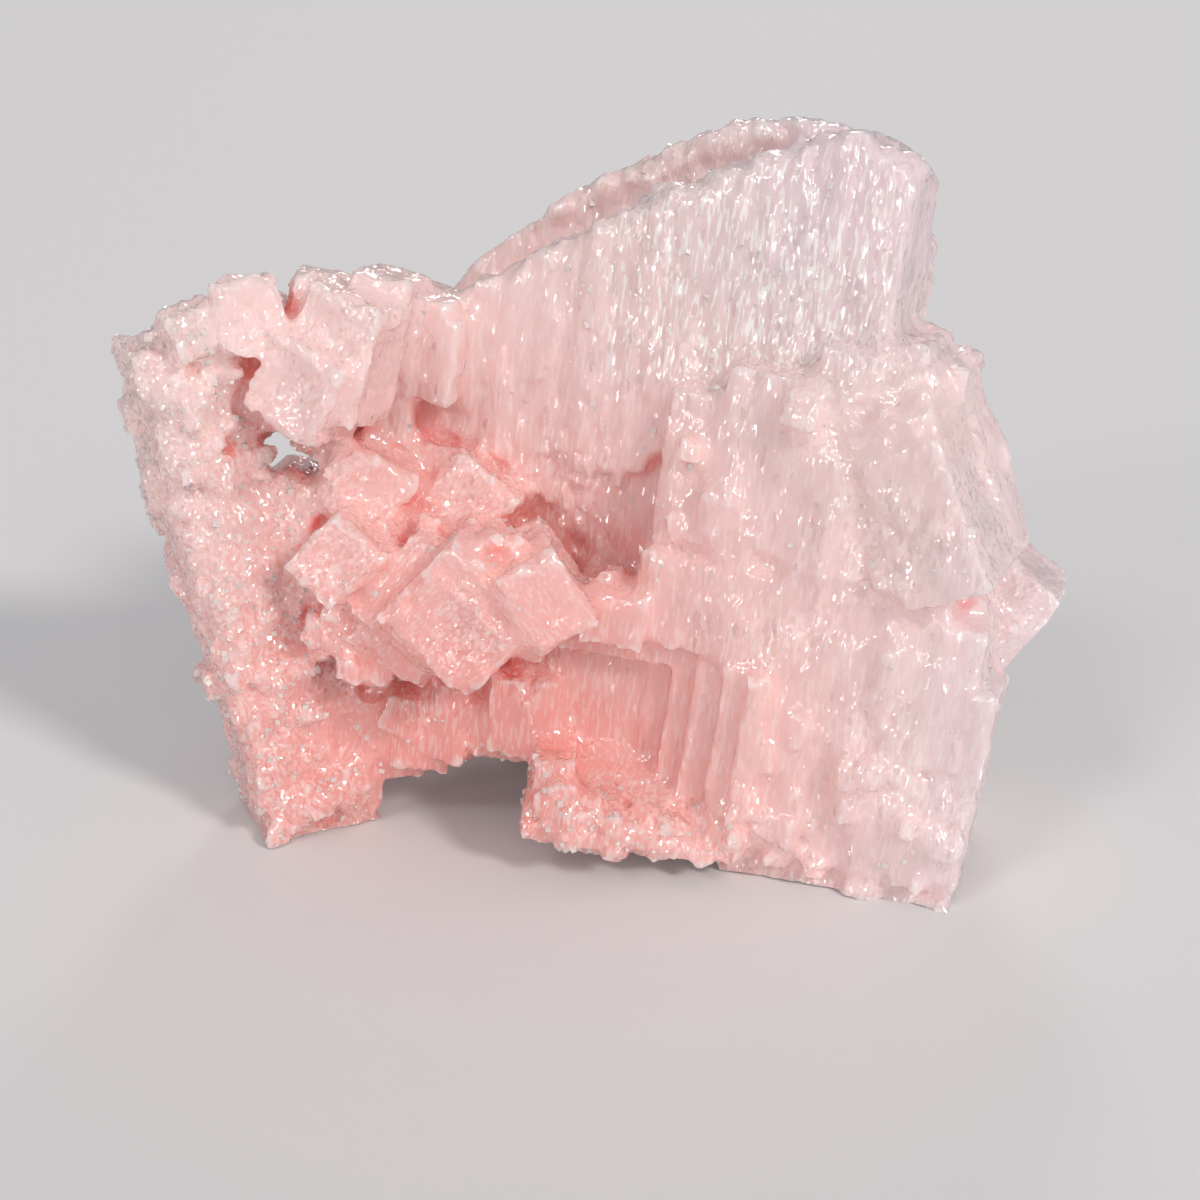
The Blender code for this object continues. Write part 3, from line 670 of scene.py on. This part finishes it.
clear, nodes, shader = new_material("clear_grains")
where = put(nodes, "ShaderNodeTexCoord").outputs["Object"]
tone = put(nodes, "ShaderNodeTexNoise", {"Vector": where, "Scale": 90.0, "Detail": 3.0}).outputs["Fac"]
colour = blend(nodes, remap(nodes, tone, 0.35, 0.65), (0.93, 0.78, 0.75, 1), (0.96, 0.88, 0.86, 1))
nodes.links.new(colour, shader.inputs["Base Color"])
nodes.links.new(remap(nodes, tone, 0.3, 0.7, 0.16, 0.05), shader.inputs["Roughness"])
shader.inputs["IOR"].default_value = HALITE_IOR
shader.inputs["Transmission Weight"].default_value = 0.2
crust_mesh.materials.append(clear)

# ---------------------------------------------------------------------------------------------------
# The studio: a pale matt floor, a large soft key light from the right, weak wide fills all round, a cool
# room, and a camera that looks down on the cluster like someone seated at the table.
FLOOR_HALF = 60.0
floor_mesh = bpy.data.meshes.new("floor")
floor_corners = [(x * FLOOR_HALF, y * FLOOR_HALF, 0) for x, y in ((-1, -1), (1, -1), (1, 1), (-1, 1))]
floor_mesh.from_pydata(floor_corners, [], [(0, 1, 2, 3)])
floor = bpy.data.objects.new("floor", floor_mesh)
bpy.context.scene.collection.objects.link(floor)
paper, nodes, shader = new_material("pale_paper")
shader.inputs["Base Color"].default_value = (0.91, 0.89, 0.89, 1)
shader.inputs["Roughness"].default_value = 0.8
floor_mesh.materials.append(paper)

world = bpy.data.worlds.new("soft_room")
bpy.context.scene.world = world
world.use_nodes = True
world.node_tree.nodes["Background"].inputs["Color"].default_value = (0.93, 0.95, 1.0, 1)
world.node_tree.nodes["Background"].inputs["Strength"].default_value = 0.35

WARM, WHITE = (1.0, 0.97, 0.93), (1.0, 0.98, 0.96)
for name, towards, energy, angle, tint in (
    ("key", (1.05, -1.1, 0.95), 1.24, 10, WARM), ("left", (-0.6, -0.75, 0.35), 0.30, 12, WHITE),
    ("front", (-0.15, -0.95, 0.3), 0.20, 12, WHITE), ("above", (-0.45, -0.55, 0.7), 0.28, 12, WHITE),
    ("right", (0.35, -0.85, 0.35), 0.12, 12, WHITE), ("behind", (0.1, 0.85, 0.55), 0.27, 12, WHITE),
):
    light = bpy.data.lights.new(name, "SUN")
    light.energy, light.angle, light.color = energy, math.radians(angle), tint
    lamp = bpy.data.objects.new(name, light)
    bpy.context.scene.collection.objects.link(lamp)
    lamp.rotation_mode = "QUATERNION"
    lamp.rotation_quaternion = Vector(towards).to_track_quat("Z", "Y")

TILT, DISTANCE = math.radians(20.0), 0.1667
aim = Vector((0.034, -7.204, 25.0)) * MM
back = Vector((0, -math.cos(TILT), math.sin(TILT)))
camera = bpy.data.objects.new("camera", bpy.data.cameras.new("camera"))
bpy.context.scene.collection.objects.link(camera)
camera.data.lens = 50
camera.data.clip_start = 0.005
camera.location = aim + back * DISTANCE
camera.rotation_mode = "QUATERNION"
camera.rotation_quaternion = (-back).to_track_quat("-Z", "Y")
bpy.context.scene.camera = camera
bpy.context.scene.view_settings.view_transform = "Standard"
light_paths = bpy.context.scene.cycles
light_paths.use_light_tree = False
light_paths.max_bounces, light_paths.diffuse_bounces = 5, 2
light_paths.glossy_bounces, light_paths.transmission_bounces = 2, 4
